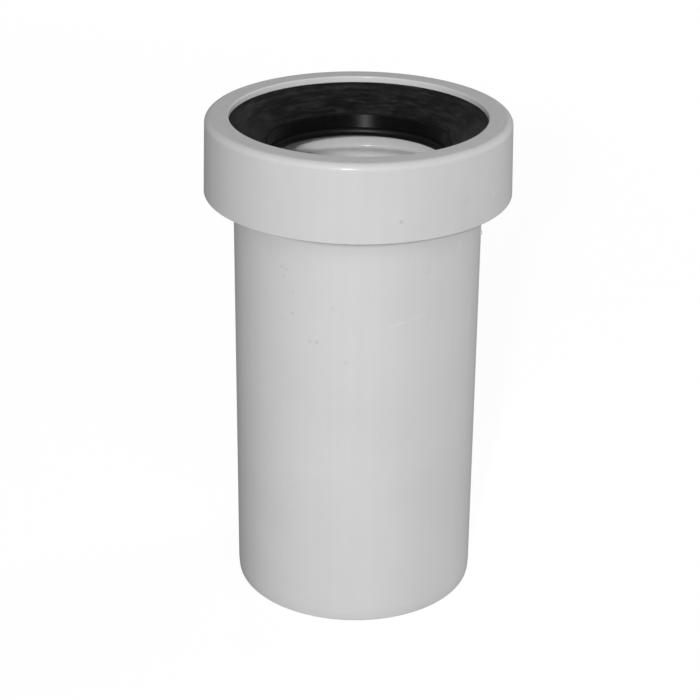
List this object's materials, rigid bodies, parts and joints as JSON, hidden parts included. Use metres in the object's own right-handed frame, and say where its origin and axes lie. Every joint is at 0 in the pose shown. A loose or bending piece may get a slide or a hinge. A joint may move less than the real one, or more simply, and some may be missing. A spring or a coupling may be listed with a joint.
{
  "type": "toilet pan connector",
  "caption": "Straight white pan connector: a long 110 mm spigot with a wide socket head, a black rubber lip seal and a snap-fit retaining collar.",
  "frame": {"origin": "centre of the spigot's end face, which the connector stands on", "axes": "+Z along the pipe's axis, from the spigot's end up to the mouth; the connector is round about Z"},
  "size_m": [0.136, 0.136, 0.224],
  "materials": {
    "white_plastic": "moulded, semi-gloss, lightly scuffed",
    "black_rubber": "matte moulded rubber, shinier in the neck"
  },
  "bodies": {
    "root": {"spigot": "white_plastic", "collar": "white_plastic", "seal": "black_rubber"}
  },
  "joints": []
}
